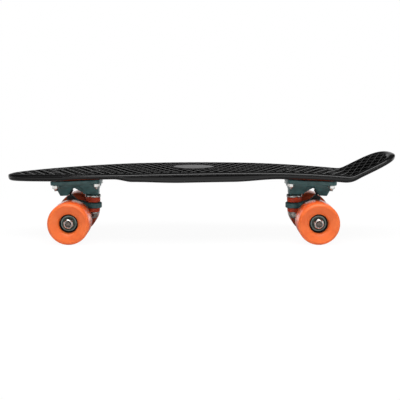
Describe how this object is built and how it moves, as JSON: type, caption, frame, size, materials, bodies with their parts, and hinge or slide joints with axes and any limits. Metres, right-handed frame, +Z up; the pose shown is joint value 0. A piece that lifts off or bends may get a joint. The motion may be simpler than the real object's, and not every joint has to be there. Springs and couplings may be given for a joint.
{
  "type": "cruiser skateboard",
  "caption": "Small plastic cruiser skateboard: waffle-topped deck with a kicktail, on cast trucks that steer through bushings, with soft wide wheels on ball bearings.",
  "frame": {"origin": "on the floor, under the middle of the whole board's box", "axes": "+X from the rounded nose to the kicktail, +Y to the board's right-hand side as seen from the picture's side (the pictured side is -Y), +Z up"},
  "size_m": [0.5594, 0.1524, 0.1237],
  "materials": {
    "deck_plastic": "glossy black moulded plastic with a raised waffle grip on top",
    "truck_casting": "cast aluminium with satin slate-green paint",
    "wheel_urethane": "smooth satin orange polyurethane",
    "core_nylon": "black moulded nylon",
    "bushing_urethane": "translucent-looking rust-red polyurethane",
    "zinc_hardware": "bright zinc-plated steel",
    "dark_nut_steel": "dark plated steel with worn bright edges",
    "axle_steel": "plain turned steel, threaded at its ends",
    "bearing_steel": "greenish-grey pressed steel shield in a ground steel race",
    "cup_plastic": "black moulded plastic"
  },
  "bodies": {
    "board": {"deck": "deck_plastic", "nose_bolt_outboard_left": "zinc_hardware", "nose_bolt_outboard_right": "zinc_hardware", "nose_bolt_inboard_left": "zinc_hardware", "nose_bolt_inboard_right": "zinc_hardware", "nose_baseplate": "truck_casting", "nose_pivot_cup": "cup_plastic", "nose_kingpin": "zinc_hardware", "nose_kingpin_nut": "dark_nut_steel", "nose_cup_washer": "zinc_hardware", "nose_road_washer": "zinc_hardware", "nose_board_bushing": "bushing_urethane", "nose_road_bushing": "bushing_urethane", "tail_bolt_outboard_left": "zinc_hardware", "tail_bolt_outboard_right": "zinc_hardware", "tail_bolt_inboard_left": "zinc_hardware", "tail_bolt_inboard_right": "zinc_hardware", "tail_baseplate": "truck_casting", "tail_pivot_cup": "cup_plastic", "tail_kingpin": "zinc_hardware", "tail_kingpin_nut": "dark_nut_steel", "tail_cup_washer": "zinc_hardware", "tail_road_washer": "zinc_hardware", "tail_board_bushing": "bushing_urethane", "tail_road_bushing": "bushing_urethane"},
    "nose_hanger_assembly": {"nose_hanger": "truck_casting", "nose_axle": "axle_steel", "nose_left_bearing_sleeve": "axle_steel", "nose_left_speed_washer": "zinc_hardware", "nose_left_axle_nut": "zinc_hardware", "nose_right_bearing_sleeve": "axle_steel", "nose_right_speed_washer": "zinc_hardware", "nose_right_axle_nut": "zinc_hardware"},
    "nose_left_wheel": {"nose_left_tyre": "wheel_urethane", "nose_left_wheel_core": "core_nylon", "nose_left_outer_bearing": "bearing_steel", "nose_left_inner_bearing": "bearing_steel"},
    "nose_right_wheel": {"nose_right_tyre": "wheel_urethane", "nose_right_wheel_core": "core_nylon", "nose_right_outer_bearing": "bearing_steel", "nose_right_inner_bearing": "bearing_steel"},
    "tail_hanger_assembly": {"tail_hanger": "truck_casting", "tail_axle": "axle_steel", "tail_left_bearing_sleeve": "axle_steel", "tail_left_speed_washer": "zinc_hardware", "tail_left_axle_nut": "zinc_hardware", "tail_right_bearing_sleeve": "axle_steel", "tail_right_speed_washer": "zinc_hardware", "tail_right_axle_nut": "zinc_hardware"},
    "tail_left_wheel": {"tail_left_tyre": "wheel_urethane", "tail_left_wheel_core": "core_nylon", "tail_left_outer_bearing": "bearing_steel", "tail_left_inner_bearing": "bearing_steel"},
    "tail_right_wheel": {"tail_right_tyre": "wheel_urethane", "tail_right_wheel_core": "core_nylon", "tail_right_outer_bearing": "bearing_steel", "tail_right_inner_bearing": "bearing_steel"}
  },
  "joints": [
    {"name": "nose_steer", "type": "hinge", "parent": "board", "child": "nose_hanger_assembly", "pos_m": [-0.15709, 0, 0.0467], "axis": [-0.8626, 0, 0.5059], "range_deg": [-12, 12], "stiffness_Nm_per_rad": 20, "deforming": ["nose_board_bushing", "nose_road_bushing"]},
    {"name": "nose_left_spin", "type": "hinge", "parent": "nose_hanger_assembly", "child": "nose_left_wheel", "pos_m": [-0.18386, 0, 0.02932], "axis": [0, 1, 0], "continuous": true},
    {"name": "nose_right_spin", "type": "hinge", "parent": "nose_hanger_assembly", "child": "nose_right_wheel", "pos_m": [-0.18386, 0, 0.02932], "axis": [0, 1, 0], "continuous": true},
    {"name": "tail_steer", "type": "hinge", "parent": "board", "child": "tail_hanger_assembly", "pos_m": [0.13807, 0, 0.0467], "axis": [0.8626, 0, 0.5059], "range_deg": [-12, 12], "stiffness_Nm_per_rad": 20, "deforming": ["tail_board_bushing", "tail_road_bushing"]},
    {"name": "tail_left_spin", "type": "hinge", "parent": "tail_hanger_assembly", "child": "tail_left_wheel", "pos_m": [0.16484, 0, 0.02932], "axis": [0, 1, 0], "continuous": true},
    {"name": "tail_right_spin", "type": "hinge", "parent": "tail_hanger_assembly", "child": "tail_right_wheel", "pos_m": [0.16484, 0, 0.02932], "axis": [0, 1, 0], "continuous": true}
  ]
}
